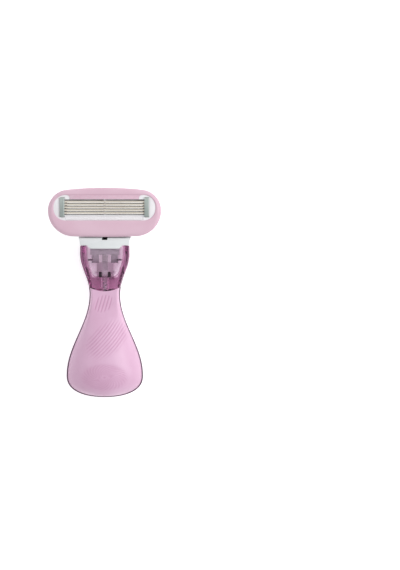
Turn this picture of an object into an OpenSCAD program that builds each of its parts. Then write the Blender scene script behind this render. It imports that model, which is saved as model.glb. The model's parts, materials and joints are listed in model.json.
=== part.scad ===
// Compact cartridge razor: short pear-shaped handle with soft grips on a
// translucent core, and a pivoting five-blade head that docks in the collar.
// It lies on its back: +Z is the way the blades face, +Y runs from butt to head,
// and the origin is the middle of the footprint on the table.

/* [Handle] */
// length from the butt to the collar's mouth
handle_len = 60.8; // [52:0.1:73]
// distance from the butt to the widest place
bulb_y = 8.9; // [7.4:0.1:10.7]
// widest part of the bulb
bulb_w = 30.7; // [26:0.1:37]
// thickness of the bulb, front to back, before the rest is cut flat
bulb_t = 16.5; // [13.7:0.1:19.8]
// depth of the flat cut on the bulb's back
rest_cut = 0.5; // [0.3:0.05:0.8]
// distance from the collar's mouth back to the narrowest place
collar_len = 19.5; // [17:0.1:23.4]
// narrowest width of the neck
neck_w = 12.3; // [10.3:0.1:14.8]
// width of the collar at its mouth
collar_w = 20.1; // [19:0.1:24.1]
// thickness of the collar, front to back
collar_t = 10.4; // [9.6:0.1:12.5]
// wall in front of the collar's pocket
front_wall = 2.2; // [1.6:0.1:2.6]
// wall behind the collar's pocket
back_wall = 3; // [2.8:0.1:3.4]
// depth of the collar's pocket from its mouth
pocket_len = 12.7; // [11:0.1:14]
// how far the core's rim stands proud of the grips
rim_step = 0.4; // [0.2:0.05:0.6]
// thickness of the core's rim seen round the silhouette
rim_t = 0.8; // [0.6:0.1:1.2]
// thickness of the soft grips over the core
grip_t = 2.1; // [1.6:0.1:2.5]

/* [Head] */
// width of the soft frame
head_w = 45.4; // [43:0.1:54.5]
// height of the soft frame, guard edge to cap edge
head_h = 19.8; // [19.2:0.1:23.8]
// pink lip below the window, on the guard side
guard_lip = 6.6; // [6:0.1:7.9]
// pink lip at each side of the window
side_lip = 2.3; // [1.8:0.1:2.8]
// height of the window in the soft frame
window_h = 10.2; // [9.8:0.1:11]
// length of the blade strips
blade_len = 35.2; // [29:0.1:36.5]
// length of the lubricating strip
cap_w = 27.6; // [23:0.1:33]
// width of each retaining clip
clip_w = 1.75; // [1.4:0.05:2.1]
// gap between the head and the collar's mouth
head_gap = 3.4; // [3.2:0.1:4.2]
// height of the soft frame's face above the table
face_z = 12.4; // [12.2:0.1:13.5]
// number of blades
blade_count = 5; // [3:1:5]
// distance from one cutting edge to the next
blade_pitch = 1.12; // [1.0:0.01:1.2]
// slant depth of one blade strip
blade_d = 0.78; // [0.6:0.01:0.9]
// thickness of one blade strip
blade_t = 0.1; // [0.08:0.01:0.12]
// angle of the blades to the shaving plane
blade_tilt = 24; // [18:1:30]

/* [Fits] */
// radius of the head's pivot pins
pin_r = 0.8; // [0.65:0.01:0.98]
// running gap round the pivot pins
pin_gap = 0.05; // [0.02:0.01:0.08]
// gap round the dock, plunger and button
slide_gap = 0.15; // [0.1:0.01:0.25]
// width of the interconnect's stem in the collar
stem_w = 12; // [10:0.1:12.4]
// travel of the release button
button_stroke = 3.2; // [2:0.1:3.4]

/* [Hidden] */
$fn = 48;

overall_len = handle_len + head_gap + head_h;
back_rise = 2;
z_mid = bulb_t / 2 - rest_cut;
crown_r = bulb_w * 0.668;
y_neck = handle_len - collar_len;
y_flare = handle_len - 2;
y_arc = y_neck + 1.2;
arc_r = neck_w * 1.041;
reach = 60;

// the plunger's axis and the head's pivot
plunger_r = 1.1;
bore_r = plunger_r + 0.4;
pivot_y = handle_len + head_gap + 3.8;
pivot_z = face_z - 3;
boss_r = pin_r + 0.7;
arm_x = 8;
arm_t = 2;

// the pocket in the collar
pocket_floor = handle_len - pocket_len;
pocket_lo = back_wall;
pocket_hi = collar_t - front_wall;
plunger_z = (pocket_lo + pocket_hi) / 2 + 0.6;
side_wall = 2.5;
notch_d = 1.4;
mouth_gap = 0.15;
eye_d = 0.7;
flange_t = 2.8;
flange_y = handle_len + mouth_gap;
flange_top = flange_y + flange_t;
prong_w = 2.8;
prong_x = stem_w / 2 - 0.7 - prong_w;
prong_y = handle_len - 6.9;

// the release button and its slot
button_y = pocket_floor + 1.3;
post_w = 2;
post_l = 1;
pad_w = 7;
pad_l = 7;
scoop_z = 1;
groove_z = 1.3;

// the cartridge
head_y = handle_len + head_gap;
window_y = head_y + guard_lip;
window_w = head_w - 2 * side_lip;
housing_lo = face_z - 5.6;
housing_hi = face_z - 0.3;
flange_lo = face_z - 2.8;
flange_hi = pivot_z + boss_r;
channel_y = window_y + 2.2;
channel_h = blade_pitch * (blade_count - 1) + 1.72;
channel_w = blade_len + 0.4;
shelf_z = face_z - 3;
edge_z = face_z - 0.05;
rib_w = 0.6;
first_edge = channel_y + 0.45;
clip_x = channel_w / 2 - clip_w - 0.05;
clip_t = 0.3;
clip_y = channel_y - 0.8;
clip_h = channel_h + 1.6;
cap_y = channel_y + channel_h + 0.1;
cap_h = window_y + window_h - cap_y;
guard_w = channel_w - 4.6;
knob_r = 0.9;
knob_w = 1.7;
contact_gap = 0.15;
plunger_tip = pivot_y - knob_r - contact_gap;
plunger_tail = pocket_floor - 0.4;
spring_tail = pocket_floor - 13.1;

// half-width of the handle at y, taken in by d
function butt(u, d) = (bulb_w / 2 - d) * pow(max(0, 1 - pow(u, 2.5)), 1 / 2.2);
function flank(s) = neck_w / 2 + (bulb_w - neck_w) / 2 * (1 + cos(180 * s)) / 2;
function flare(s) = neck_w / 2 + (collar_w - neck_w) / 2 * (1 - cos(180 * min(1, s))) / 2;
function half_w(y) = y < y_neck ? flank((y - bulb_y) / (y_neck - bulb_y))
                                : flare((y - y_neck) / ((y_flare - y_neck) * 0.93));
function half_profile(d, y_end) = concat(
  [for (i = [0:11]) let(u = cos(i * 7.5)) [butt(u, d), bulb_y - (bulb_y - d) * u]],
  [for (i = [0:16]) let(y = bulb_y + (y_neck - bulb_y) * i / 16) [half_w(y) - d, y]],
  [for (i = [1:9]) let(y = y_neck + (y_flare - y_neck) * i / 9) if (y < y_end - 0.1)
    [half_w(y) - d, y]],
  [[half_w(y_end) - d, y_end]]);

// outline of the soft frame, taken in by d: arcs that meet in a common tangent
function arc(cx, cy, r, a0, a1, n) =
  [for (i = [0:n]) [cx + r * cos(a0 + (a1 - a0) * i / n), cy + r * sin(a0 + (a1 - a0) * i / n)]];
top_r = 140;
low_r = 300;
high_c = 8.4;
low_c = 10.3;
high_x = head_w / 2 - high_c;
low_x = head_w / 2 - low_c;
high_y = head_h - top_r + sqrt(pow(top_r - high_c, 2) - pow(high_x, 2));
low_y = low_r - sqrt(pow(low_r - low_c, 2) - pow(low_x, 2));
high_a = atan2(high_y - head_h + top_r, high_x);
low_a = atan2(low_y - low_r, low_x);
function frame_half(d) = concat(
  arc(0, low_r, low_r - d, -90, low_a, 4), arc(low_x, low_y, low_c - d, low_a, 0, 9),
  arc(high_x, high_y, high_c - d, 0, high_a, 8),
  arc(0, head_h - top_r, top_r - d, high_a, 90, 4));
function flipped(p) = [for (i = [len(p) - 2:-1:1]) [-p[i][0], p[i][1]]];

// puts the footprint's middle on the origin
module place() translate([0, -overall_len / 2, 0]) children();

// one extrusion along +Y from y0, of a shape drawn in X and Z
module along_y(y0, l) translate([0, y0 + l, 0]) rotate([90, 0, 0]) linear_extrude(l) children();

// one extrusion along +X from x0, of a shape drawn in Y and Z
module along_x(x0, l) translate([x0, 0, 0]) rotate([90, 0, 90]) linear_extrude(l) children();

module box(x0, x1, y0, y1, z0, z1) translate([x0, y0, z0]) cube([x1 - x0, y1 - y0, z1 - z0]);

module both() {
  children();
  mirror([1, 0, 0]) children();
}

module rounded(w, y0, h, r) translate([0, y0]) round_rect(w, h, r);

// rectangle with rounded corners, centred in X and standing on Y = 0
module round_rect(w, h, r) {
  translate([-w / 2, r]) square([w, h - 2 * r]);
  translate([-w / 2 + r, 0]) square([w - 2 * r, h]);
  for (x = [-w / 2 + r, w / 2 - r]) for (y = [r, h - r]) translate([x, y]) circle(r);
}

// the handle's round body, taken in by d
module turned(d, y_end) translate([0, 0, z_mid]) rotate([-90, 0, 0])
  rotate_extrude($fn = 96) polygon(concat(half_profile(d, y_end), [[0, y_end]]));

// height of the handle's front and back surface at y
function ease(y, y0, y1) = (1 - cos(180 * min(1, max(0, (y - y0) / (y1 - y0))))) / 2;
y_top = bulb_y + 2.05;
y_slim = y_neck + 2.4;
y_hollow = (y_top + y_neck) / 2 + 4.9;
rest_y0 = y_top - (y_top + 0.6) * pow(1 - pow(z_mid * 2 / bulb_t, 2.2), 1 / 2.4);
rest_y1 = y_top + (y_hollow - y_top) * acos(1 - 2 * rest_cut / back_rise) / 180;
function nose(y) = pow(1 - pow((y_top - min(y, y_top)) / (y_top + 0.6), 2.4), 1 / 2.2);
function front_h(y) = z_mid + bulb_t / 2 * nose(y)
  + (collar_t - z_mid - bulb_t / 2) * ease(y, y_top, y_slim);
function back_h(y) = z_mid - bulb_t / 2 * nose(y) + back_rise * ease(y, y_top, y_hollow);

// everything between the front surface, lowered by d, and the height lo
module under_front(d, lo, y_end) along_x(-reach, 2 * reach)
  polygon(concat([[-0.1, lo], [-0.1, front_h(0) - d]],
    [for (i = [0:6]) let(y = y_top * (1 - cos(15 * i))) [y, front_h(y) - d]],
    [for (i = [1:14]) let(y = y_top + (y_slim - y_top) * i / 14) [y, front_h(y) - d]],
    [[y_end, collar_t - d], [y_end, lo]]));

// everything above the back surface, which drops to the table past the neck
module over_back(y_end) along_x(-reach, 2 * reach)
  polygon(concat([[-0.1, 40], [-0.1, back_h(0)]],
    [for (i = [0:6]) let(y = y_top * (1 - cos(15 * i))) if (back_h(y) > 0.01) [y, back_h(y)]],
    [[rest_y0, 0], [rest_y1, 0]],
    [for (i = [1:12]) let(y = y_top + (y_hollow - y_top) * i / 12) if (back_h(y) > 0.01)
      [y, back_h(y)]],
    [[y_neck, back_h(y_neck)], [y_neck + 0.6, 0], [y_end, 0], [y_end, 40]]));

// the rounding of the bulb from side to side, taken in by d
module crowns(d, y_end) intersection_for(side = [-1, 1])
  along_y(-2, y_end + 2) translate([0, z_mid + side * (bulb_t / 2 - crown_r)])
    circle(crown_r - d, $fn = 96);

// the whole handle, its sides taken in by d
module body(d, y_end) intersection() {
  turned(d, y_end);
  under_front(0, 0, y_end + 1);
  over_back(y_end + 1);
  crowns(0, y_end + 1);
}

// the core inside the grips
module inner_core() intersection() {
  turned(grip_t + 0.1, y_arc + 4);
  under_front(grip_t, grip_t + 0.3, y_arc + 5);
  crowns(grip_t, y_arc + 5);
}

// the collar's region, ending in an arc against the grips
module collar_zone() {
  translate([0, y_arc + arc_r, -1]) cylinder(h = 40, r = arc_r);
  box(-reach, reach, y_arc + 1.8, handle_len + 20, -1, 40);
}

module pocket() {
  n = 8;
  side = [for (i = [0:n]) let(y = pocket_floor + 1.4 + (handle_len - pocket_floor) * i / n)
    [half_w(y) - side_wall, y]];
  floor_x = half_w(pocket_floor) - side_wall;
  translate([0, 0, pocket_lo]) linear_extrude(pocket_hi - pocket_lo)
    polygon(concat([[floor_x - 1.2, pocket_floor]], side,
                   [for (i = [n:-1:0]) [-side[i][0], side[i][1]]],
                   [[1.2 - floor_x, pocket_floor]]));
}

// the step that the interconnect fills at the mouth, widened by g
module notch(g) {
  w = stem_w / 2 + g;
  translate([0, 0, pocket_hi - 0.5]) linear_extrude(20)
    polygon([[-w, handle_len - notch_d - g], [w, handle_len - notch_d - g],
             [w + 0.5, handle_len - notch_d * 0.6 - g], [w + 1, handle_len - notch_d * 0.2],
             [w + 1.6, handle_len + 1], [-w - 1.6, handle_len + 1],
             [-w - 1, handle_len - notch_d * 0.2], [-w - 0.5, handle_len - notch_d * 0.6 - g]]);
}

module tabs() both() box(plunger_r + 0.12, plunger_r + 1.3, pocket_floor - 0.1,
  pocket_floor + 2.2, plunger_z - 1.6, pocket_hi + 0.1);

module detents() both()
  box(4.8, 6.8, handle_len - 6, handle_len - 5.4, pocket_hi - 0.6, pocket_hi + 0.1);

module button_slot() {
  box(-pad_w / 2 - 0.4, pad_w / 2 + 0.4, button_y - 2.8, button_y + pad_l + 1.4, -1, scoop_z);
  box(-post_w / 2 - slide_gap, post_w / 2 + slide_gap, button_y - 0.4,
      button_y + post_l + button_stroke + 0.4, 0, pocket_lo + 0.1);
  box(-post_w / 2 - slide_gap, post_w / 2 + slide_gap, button_y,
      handle_len - 2.2, groove_z, pocket_lo + 0.1);
}

module handle_core() color([0.45, 0.2, 0.36, 0.6]) place() difference() {
  union() {
    intersection() {
      body(0, handle_len);
      collar_zone();
    }
    intersection() {
      body(0, handle_len);
      box(-reach, reach, -1, y_arc + 2, z_mid - rim_t / 2, z_mid + rim_t / 2);
    }
    inner_core();
  }
  difference() {
    pocket();
    tabs();
    detents();
  }
  notch(0);
  button_slot();
  translate([0, spring_tail, plunger_z]) rotate([-90, 0, 0])
    cylinder(h = pocket_floor - spring_tail + 1, r = bore_r);
}

module grip_half(lo, hi) difference() {
  intersection() {
    body(rim_step, handle_len);
    box(-reach, reach, -1, y_arc + 1.8, lo, hi);
  }
  collar_zone();
  inner_core();
}

module front_grip() color([0.85, 0.7, 0.79]) place() grip_half(z_mid + rim_t / 2, 40);

module rear_grip() color([0.85, 0.7, 0.79]) place() grip_half(-1, z_mid - rim_t / 2);

module release_button() color([0.8, 0.68, 0.78]) place() {
  difference() {
    box(-pad_w / 2, pad_w / 2, button_y - 2.2, button_y - 2.2 + pad_l, 0.2, scoop_z - 0.15);
    for (i = [0:3]) box(-pad_w / 2 - 1, pad_w / 2 + 1, button_y - 1.2 + i * 1.4,
                        button_y - 0.6 + i * 1.4, 0, 0.45);
  }
  box(-post_w / 2, post_w / 2, button_y, button_y + post_l, 0.5, plunger_z - 1.9);
  box(-4.3, 4.3, button_y, button_y + post_l, pocket_lo + 0.2, plunger_z - 1.9);
}

// a round-wire coil along +Y from y0 to y1, closed at both ends
module coil(y0, y1, z, r, wire, turns) {
  steps = 16;
  sides = 6;
  n = turns * steps;
  pts = [for (i = [0:n]) for (j = [0:sides - 1])
    let(a = i * 360 / steps, b = j * 360 / sides, q = r + wire * cos(b))
    [q * cos(a), y0 + wire + (y1 - y0 - 2 * wire) * i / n + wire * sin(b), z + q * sin(a)]];
  skin = [for (i = [0:n - 1]) for (j = [0:sides - 1])
    [i * sides + j, (i + 1) * sides + j, (i + 1) * sides + (j + 1) % sides,
     i * sides + (j + 1) % sides]];
  polyhedron(pts, concat(skin, [[for (j = [0:sides - 1]) j]],
                         [[for (j = [sides - 1:-1:0]) n * sides + j]]));
}

module button_spring() color([0.7, 0.7, 0.72]) place()
  coil(button_y + post_l + 0.05, handle_len - 2.25, groove_z + 0.95, 0.62, 0.12, 9);

module plunger() color([0.85, 0.82, 0.85, 0.6]) place() {
  translate([0, plunger_tail, plunger_z]) rotate([-90, 0, 0])
    cylinder(h = plunger_tip - plunger_tail, r = plunger_r);
  translate([0, plunger_tail - 1, plunger_z]) rotate([-90, 0, 0])
    cylinder(h = 1.2, r = bore_r - slide_gap);
  translate([0, plunger_tail - 2.5, plunger_z]) rotate([-90, 0, 0])
    cylinder(h = 1.6, r = plunger_r - 0.35);
}

module plunger_spring() color([0.7, 0.7, 0.72]) place()
  coil(spring_tail + 0.05, plunger_tail - 1.05, plunger_z, 1.1, 0.2, 8);

module arm() {
  along_x(arm_x, arm_t) polygon([
    [flange_top - 0.2, 3.4], [pivot_y - 2.4, 4.6], [pivot_y - 0.6, pivot_z - 2.5],
    [pivot_y - 0.4, pivot_z - 1.2], [pivot_y - 1.4, pivot_z - 0.4],
    [pivot_y - 1.8, pivot_z - 0.8], [flange_top - 0.2, pivot_z - 0.8]]);
  translate([arm_x, pivot_y, pivot_z]) rotate([0, 90, 0]) cylinder(h = arm_t, r = boss_r);
  translate([arm_x, pivot_y, pivot_z]) rotate([0, 90, 0]) cylinder(h = arm_t + 2.8, r = pin_r);
}

module interconnect() color([0.9, 0.91, 0.91]) place() difference() {
  union() {
    intersection() {
      body(0.05, flange_top);
      box(-reach, reach, flange_y, flange_top, 0.1, 40);
    }
    box(-stem_w / 2 + slide_gap, stem_w / 2 - slide_gap, handle_len - 3.6, flange_y + 0.5,
        pocket_lo + slide_gap, pocket_hi - slide_gap);
    intersection() {
      notch(-slide_gap);
      body(0.05, flange_top);
      box(-reach, reach, 0, flange_y + 0.5, pocket_hi - 0.3, 40);
    }
    both() box(prong_x, prong_x + prong_w, prong_y, handle_len - 3, pocket_lo + 0.3,
               pocket_hi - 0.9);
    both() arm();
    both() box(knob_w / 2 + 0.35, arm_x + 0.5, flange_top - 0.5, pivot_y - 2.4,
               pocket_lo + 0.2, pivot_z - 1);
  }
  translate([0, handle_len - 8, plunger_z]) rotate([-90, 0, 0])
    cylinder(h = 20, r = plunger_r + slide_gap);
  box(-plunger_r, plunger_r, flange_top - eye_d, flange_top + 1, plunger_z, 40);
}

module housing_outline() rounded(window_w + 0.4, window_y - 0.5, window_h + 1.5, 5);

module blade_housing() color([0.93, 0.92, 0.93]) place() difference() {
  union() {
    difference() {
      translate([0, 0, housing_lo]) linear_extrude(housing_hi - housing_lo) housing_outline();
      box(-channel_w / 2, channel_w / 2, channel_y, channel_y + channel_h, shelf_z, 40);
      box(-cap_w / 2, cap_w / 2, cap_y, cap_y + cap_h + 0.2, face_z - 1.5, 40);
      box(-guard_w / 2, guard_w / 2, window_y + 0.1, window_y + 1.9, face_z - 1.2, 40);
      both() for (i = [0:blade_count - 1]) rinse_slot(i);
    }
    box(-rib_w / 2, rib_w / 2, channel_y, channel_y + channel_h, shelf_z - 0.1, face_z - 0.9);
    both() box(channel_w / 2 - 1.5, channel_w / 2, channel_y, channel_y + channel_h,
               shelf_z - 0.1, face_z - 0.9);
    difference() {
      box(-15, 15, pivot_y - 1.6, window_y - 0.4, flange_lo, flange_hi);
      both() box(arm_x - 0.5, arm_x + arm_t + 0.3, 0, window_y - 0.5, 0, 40);
    }
    both() translate([arm_x + arm_t + 0.3, pivot_y, pivot_z]) rotate([0, 90, 0])
      cylinder(h = 2.8, r = boss_r);
    both() box(arm_x + arm_t + 0.3, arm_x + arm_t + 3.1, pivot_y, window_y,
               pivot_z - 0.8, flange_hi);
    box(-knob_w / 2, knob_w / 2, pivot_y - 0.6, pivot_y + 0.6, plunger_z, flange_lo + 0.1);
    along_x(-knob_w / 2, knob_w) translate([pivot_y, plunger_z]) circle(knob_r);
  }
  both() translate([arm_x + arm_t - 0.5, pivot_y, pivot_z]) rotate([0, 90, 0])
    cylinder(h = 5, r = pin_r + pin_gap);
  for (i = [0:blade_count - 1]) leg_slot(i);
  both() for (y = [clip_y, clip_y + clip_h - clip_t])
    box(clip_x - 0.1, clip_x + clip_w + 0.1, y - 0.1, y + clip_t + 0.1, 0, 40);
}

module soft_frame() color([0.85, 0.71, 0.78]) place() difference() {
  translate([0, head_y, 0]) hull() {
    translate([0, 0, face_z - 5.2]) linear_extrude(0.1)
      translate([0, 5.8]) round_rect(window_w - 1, window_h + 2, 5);
    translate([0, 0, face_z - 2.8]) linear_extrude(0.1)
      polygon(concat(frame_half(0.3), flipped(frame_half(0.3))));
    translate([0, 0, face_z - 1.3]) linear_extrude(0.1)
      polygon(concat(frame_half(0), flipped(frame_half(0))));
    translate([0, 0, face_z - 0.4]) linear_extrude(0.1)
      polygon(concat(frame_half(0.5), flipped(frame_half(0.5))));
    translate([0, 0, face_z - 0.1]) linear_extrude(0.1)
      polygon(concat(frame_half(1.3), flipped(frame_half(1.3))));
  }
  linear_extrude(housing_hi) housing_outline();
  linear_extrude(40) rounded(window_w, window_y, window_h, 4.8);
  box(-15, 15, pivot_y - 1.6, window_y, flange_lo, flange_hi);
  both() box(arm_x - 0.5, arm_x + arm_t + 3.2, 0, window_y, 0, pivot_z - 0.1);
  both() box(arm_x - 0.5, arm_x + arm_t + 3.2, pivot_y - boss_r - 0.5, window_y, 0, flange_hi);
  both() box(arm_x - 0.5, arm_x + arm_t + 0.3, pivot_y - boss_r - 0.5, window_y, 0,
             flange_hi + 0.35);
  box(-1.7, 1.7, pivot_y - 1.6, window_y, 0, flange_lo);
}

module cap_strip() color([0.86, 0.72, 0.78]) place()
  box(-cap_w / 2 + 0.05, cap_w / 2 - 0.05, cap_y, cap_y + cap_h, face_z - 1.5, face_z - 0.02);

module guard_strip() color([0.95, 0.94, 0.95]) place() {
  box(-guard_w / 2 + 0.05, guard_w / 2 - 0.05, window_y + 0.15, window_y + 1.85,
      face_z - 1.2, face_z - 0.6);
  for (i = [0:3]) box(-guard_w / 2 + 0.4, guard_w / 2 - 0.4, window_y + 0.25 + i * 0.42,
                      window_y + 0.5 + i * 0.42, face_z - 0.7, face_z - 0.15);
}

// the slanted frame of blade i, with its cutting edge on the X axis
module at_edge(i) translate([0, first_edge + i * blade_pitch, edge_z])
  rotate([-blade_tilt, 0, 0]) children();

// the bent support's section: a flange under the strip and a leg down to the shelf
bend_t = 0.18;
leg_y = blade_d * cos(blade_tilt) - (blade_t + bend_t) * sin(blade_tilt) - bend_t;
function tilted(u, v) = [u * cos(blade_tilt) + v * sin(blade_tilt),
                         v * cos(blade_tilt) - u * sin(blade_tilt)];
function bend_low(y) = -y * tan(blade_tilt) - (blade_t + bend_t) / cos(blade_tilt);

module leg_slot(i) box(-channel_w / 2, channel_w / 2, first_edge + i * blade_pitch + leg_y - 0.05,
  first_edge + i * blade_pitch + leg_y + 0.23, shelf_z, 40);

// a slot right through the tray, hidden under strip i
module rinse_slot(i) box(rib_w / 2, channel_w / 2 - 2.6, first_edge + i * blade_pitch,
  first_edge + i * blade_pitch + leg_y - 0.05, 0, 40);

module blade(i) color([0.86, 0.85, 0.82]) place() at_edge(i)
  along_x(-blade_len / 2, blade_len)
    polygon([[0, 0], [blade_d, 0], [blade_d, -blade_t], [0.22, -blade_t]]);

module support(i) color([0.62, 0.6, 0.57]) place()
  translate([0, first_edge + i * blade_pitch, edge_z]) along_x(-blade_len / 2, blade_len)
    polygon([tilted(0.25, -blade_t), tilted(blade_d, -blade_t),
             tilted(blade_d, -blade_t - bend_t), [leg_y + bend_t, shelf_z - edge_z],
             [leg_y, shelf_z - edge_z], [leg_y, bend_low(leg_y)],
             tilted(0.25, -blade_t - bend_t)]);

module blade_1() blade(0);
module blade_2() blade(1);
module blade_3() blade(2);
module blade_4() blade(3);
module blade_5() blade(4);
module blade_support_1() support(0);
module blade_support_2() support(1);
module blade_support_3() support(2);
module blade_support_4() support(3);
module blade_support_5() support(4);

// a bent aluminium band: bar over the blades, two legs and two folded feet
module clip() {
  top = face_z + 0.35;
  foot = housing_lo - clip_t;
  box(clip_x, clip_x + clip_w, clip_y, clip_y + clip_h, top - clip_t, top);
  for (y = [clip_y, clip_y + clip_h - clip_t])
    box(clip_x, clip_x + clip_w, y, y + clip_t, foot, top);
  box(clip_x, clip_x + clip_w, clip_y, clip_y + 1.5, foot, foot + clip_t);
  box(clip_x, clip_x + clip_w, clip_y + clip_h - 1.5, clip_y + clip_h, foot, foot + clip_t);
}

module left_clip() color([0.66, 0.69, 0.68]) place() mirror([1, 0, 0]) clip();

module right_clip() color([0.66, 0.69, 0.68]) place() clip();

handle_core();
front_grip();
rear_grip();
release_button();
button_spring();
plunger();
plunger_spring();
interconnect();
blade_housing();
soft_frame();
cap_strip();
guard_strip();
blade_1();
blade_2();
blade_3();
blade_4();
blade_5();
blade_support_1();
blade_support_2();
blade_support_3();
blade_support_4();
blade_support_5();
left_clip();
right_clip();
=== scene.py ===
# %% [markdown]
# # A compact cartridge razor
# The razor lies on its back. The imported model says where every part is, so this
# lesson only makes the parts look real: soft ribbed grips, a see-through collar,
# a rounded frame and a bright pack of blades. Each step makes one of them.

# %% Load the frame
import json
import math

import bmesh
import bpy
import numpy as np
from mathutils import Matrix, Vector


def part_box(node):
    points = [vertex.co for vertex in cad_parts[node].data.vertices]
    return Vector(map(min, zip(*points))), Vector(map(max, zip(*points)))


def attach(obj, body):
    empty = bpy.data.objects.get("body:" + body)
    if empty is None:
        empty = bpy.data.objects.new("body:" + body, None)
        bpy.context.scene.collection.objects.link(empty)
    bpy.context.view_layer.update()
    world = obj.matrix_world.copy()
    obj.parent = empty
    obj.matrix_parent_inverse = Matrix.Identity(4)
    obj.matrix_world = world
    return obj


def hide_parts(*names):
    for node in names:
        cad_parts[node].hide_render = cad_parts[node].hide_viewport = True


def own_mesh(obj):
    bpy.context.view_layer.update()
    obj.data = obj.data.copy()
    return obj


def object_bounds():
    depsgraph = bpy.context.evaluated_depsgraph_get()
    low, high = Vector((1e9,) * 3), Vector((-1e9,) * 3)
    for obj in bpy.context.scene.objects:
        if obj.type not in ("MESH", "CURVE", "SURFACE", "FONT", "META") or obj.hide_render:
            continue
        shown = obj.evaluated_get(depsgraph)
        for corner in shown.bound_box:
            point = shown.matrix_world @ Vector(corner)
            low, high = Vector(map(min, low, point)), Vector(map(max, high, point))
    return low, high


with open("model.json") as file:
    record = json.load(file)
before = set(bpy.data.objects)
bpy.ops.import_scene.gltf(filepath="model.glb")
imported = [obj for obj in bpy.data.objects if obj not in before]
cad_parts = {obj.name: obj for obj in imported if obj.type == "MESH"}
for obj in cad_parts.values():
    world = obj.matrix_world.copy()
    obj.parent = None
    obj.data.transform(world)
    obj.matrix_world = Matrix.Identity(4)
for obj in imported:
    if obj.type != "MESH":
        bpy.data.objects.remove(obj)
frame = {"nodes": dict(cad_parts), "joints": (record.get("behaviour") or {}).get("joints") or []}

MM = 0.001
cad_bounds = [list(corner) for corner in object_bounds()]
print("model box in mm:", [[round(v / MM, 2) for v in corner] for corner in cad_bounds])

# %% [markdown]
# ## Measures
# The sizes that the shapes need come from the boxes of the model's parts. Lengths
# are in millimetres here, and Y is counted from the handle's butt, because that is
# how a maker would draw it. `to_frame` turns such a point into the model's own frame.

# %% Sizes of the handle
butt_y = cad_bounds[0][1] / MM


def size(node):
    low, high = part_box(node)
    return ([v / MM for v in low], [v / MM for v in high])


core_low, core_high = size("handle_core")
grip_low, grip_high = size("front_grip")
handle_len = core_high[1] - core_low[1]
bulb_half = core_high[0]
crest_z = grip_high[2]
collar_t = 10.4
rim_half = 0.4
mid_z = grip_low[2] - rim_half
neck_half = 6.15
mouth_half = 10.05
grip_t = 2.1
rim_step = 0.4
half_t = crest_z - mid_z
bulb_y = 8.9
neck_y = handle_len - 19.5
flare_y = handle_len - 2
top_y = bulb_y + 2.05
slim_y = neck_y + 2.4
hollow_y = (top_y + neck_y) / 2 + 4.9
back_rise = 2.0
crown_r = bulb_half * 2 * 0.668
arc_y = neck_y + 1.2
arc_r = neck_half * 2 * 1.041
print(f"handle {handle_len:.1f} mm long, bulb {2 * bulb_half:.1f} mm wide, "
      f"crest at {crest_z:.1f} mm")


def to_frame(points):
    placed = np.array(points, float)
    placed[..., 1] += butt_y
    return placed * MM


# %% [markdown]
# ## Small tools
# Most pieces are a loft: rings of points joined by quads. The helpers below make a
# mesh, point its faces outwards, run its modifiers for good and shade it. A part
# whose model is already right can be copied and given softly rounded edges, as a
# moulded or stamped part has.

# %% Mesh tools
def make_mesh(name, points, faces):
    mesh = bpy.data.meshes.new(name)
    mesh.from_pydata(to_frame(points).reshape(-1, 3).tolist(), [], faces)
    piece = bpy.data.objects.new(name, mesh)
    bpy.context.scene.collection.objects.link(piece)
    tidy_mesh(piece)
    return piece


def tidy_mesh(piece, merge=1e-6, flatten=None):
    work = bmesh.new()
    work.from_mesh(piece.data)
    bmesh.ops.remove_doubles(work, verts=work.verts, dist=merge)
    bmesh.ops.dissolve_degenerate(work, edges=work.edges, dist=merge)
    if flatten is not None:
        bmesh.ops.dissolve_limit(work, angle_limit=math.radians(flatten),
                                 verts=work.verts, edges=work.edges)
    bmesh.ops.recalc_face_normals(work, faces=work.faces)
    if work.calc_volume(signed=True) < 0:
        bmesh.ops.reverse_faces(work, faces=work.faces)
    work.to_mesh(piece.data)
    work.free()


def settle(piece):
    graph = bpy.context.evaluated_depsgraph_get()
    finished = bpy.data.meshes.new_from_object(piece.evaluated_get(graph))
    piece.modifiers.clear()
    piece.data = finished
    return piece


def shade(piece, sharp=35):
    piece.data.shade_smooth()
    piece.data.set_sharp_from_angle(angle=math.radians(sharp))
    return piece


def round_edges(piece, width, segments=2, angle=32):
    bevel = piece.modifiers.new("rounded edges", "BEVEL")
    bevel.width = width * MM
    bevel.segments = segments
    bevel.limit_method = "ANGLE"
    bevel.angle_limit = math.radians(angle)
    bevel.use_clamp_overlap = True
    return settle(piece)


def loft(name, rings):
    count, n = len(rings), len(rings[0])
    faces = [(i * n + j, i * n + (j + 1) % n, (i + 1) * n + (j + 1) % n, (i + 1) * n + j)
             for i in range(count - 1) for j in range(n)]
    faces += [tuple(range(n))[::-1], tuple(range((count - 1) * n, count * n))]
    return make_mesh(name, np.array(rings), faces)


def block(name, x, y, z, rounding=0.0):
    corners = [(a, b, c) for c in z for b in y for a in x]
    faces = [(0, 1, 3, 2), (4, 5, 7, 6), (0, 1, 5, 4), (2, 3, 7, 6), (0, 2, 6, 4), (1, 3, 7, 5)]
    piece = make_mesh(name, corners, faces)
    return round_edges(piece, rounding) if rounding else piece


def slab(name, outline, z):
    return loft(name, [[(x, y, level) for x, y in outline] for level in z])


def rod(name, y, z, radius, sides=40):
    turn = np.linspace(0, 2 * np.pi, sides, endpoint=False)
    return loft(name, [[(radius * np.cos(a), along, z + radius * np.sin(a)) for a in turn]
                       for along in y])


def combine(piece, others, how):
    for other in others:
        step = piece.modifiers.new(how.lower(), "BOOLEAN")
        step.operation = how
        step.solver = "EXACT"
        step.material_mode = "TRANSFER"
        step.object = other
    settle(piece)
    for other in others:
        bpy.data.objects.remove(other)
    return piece


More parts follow.
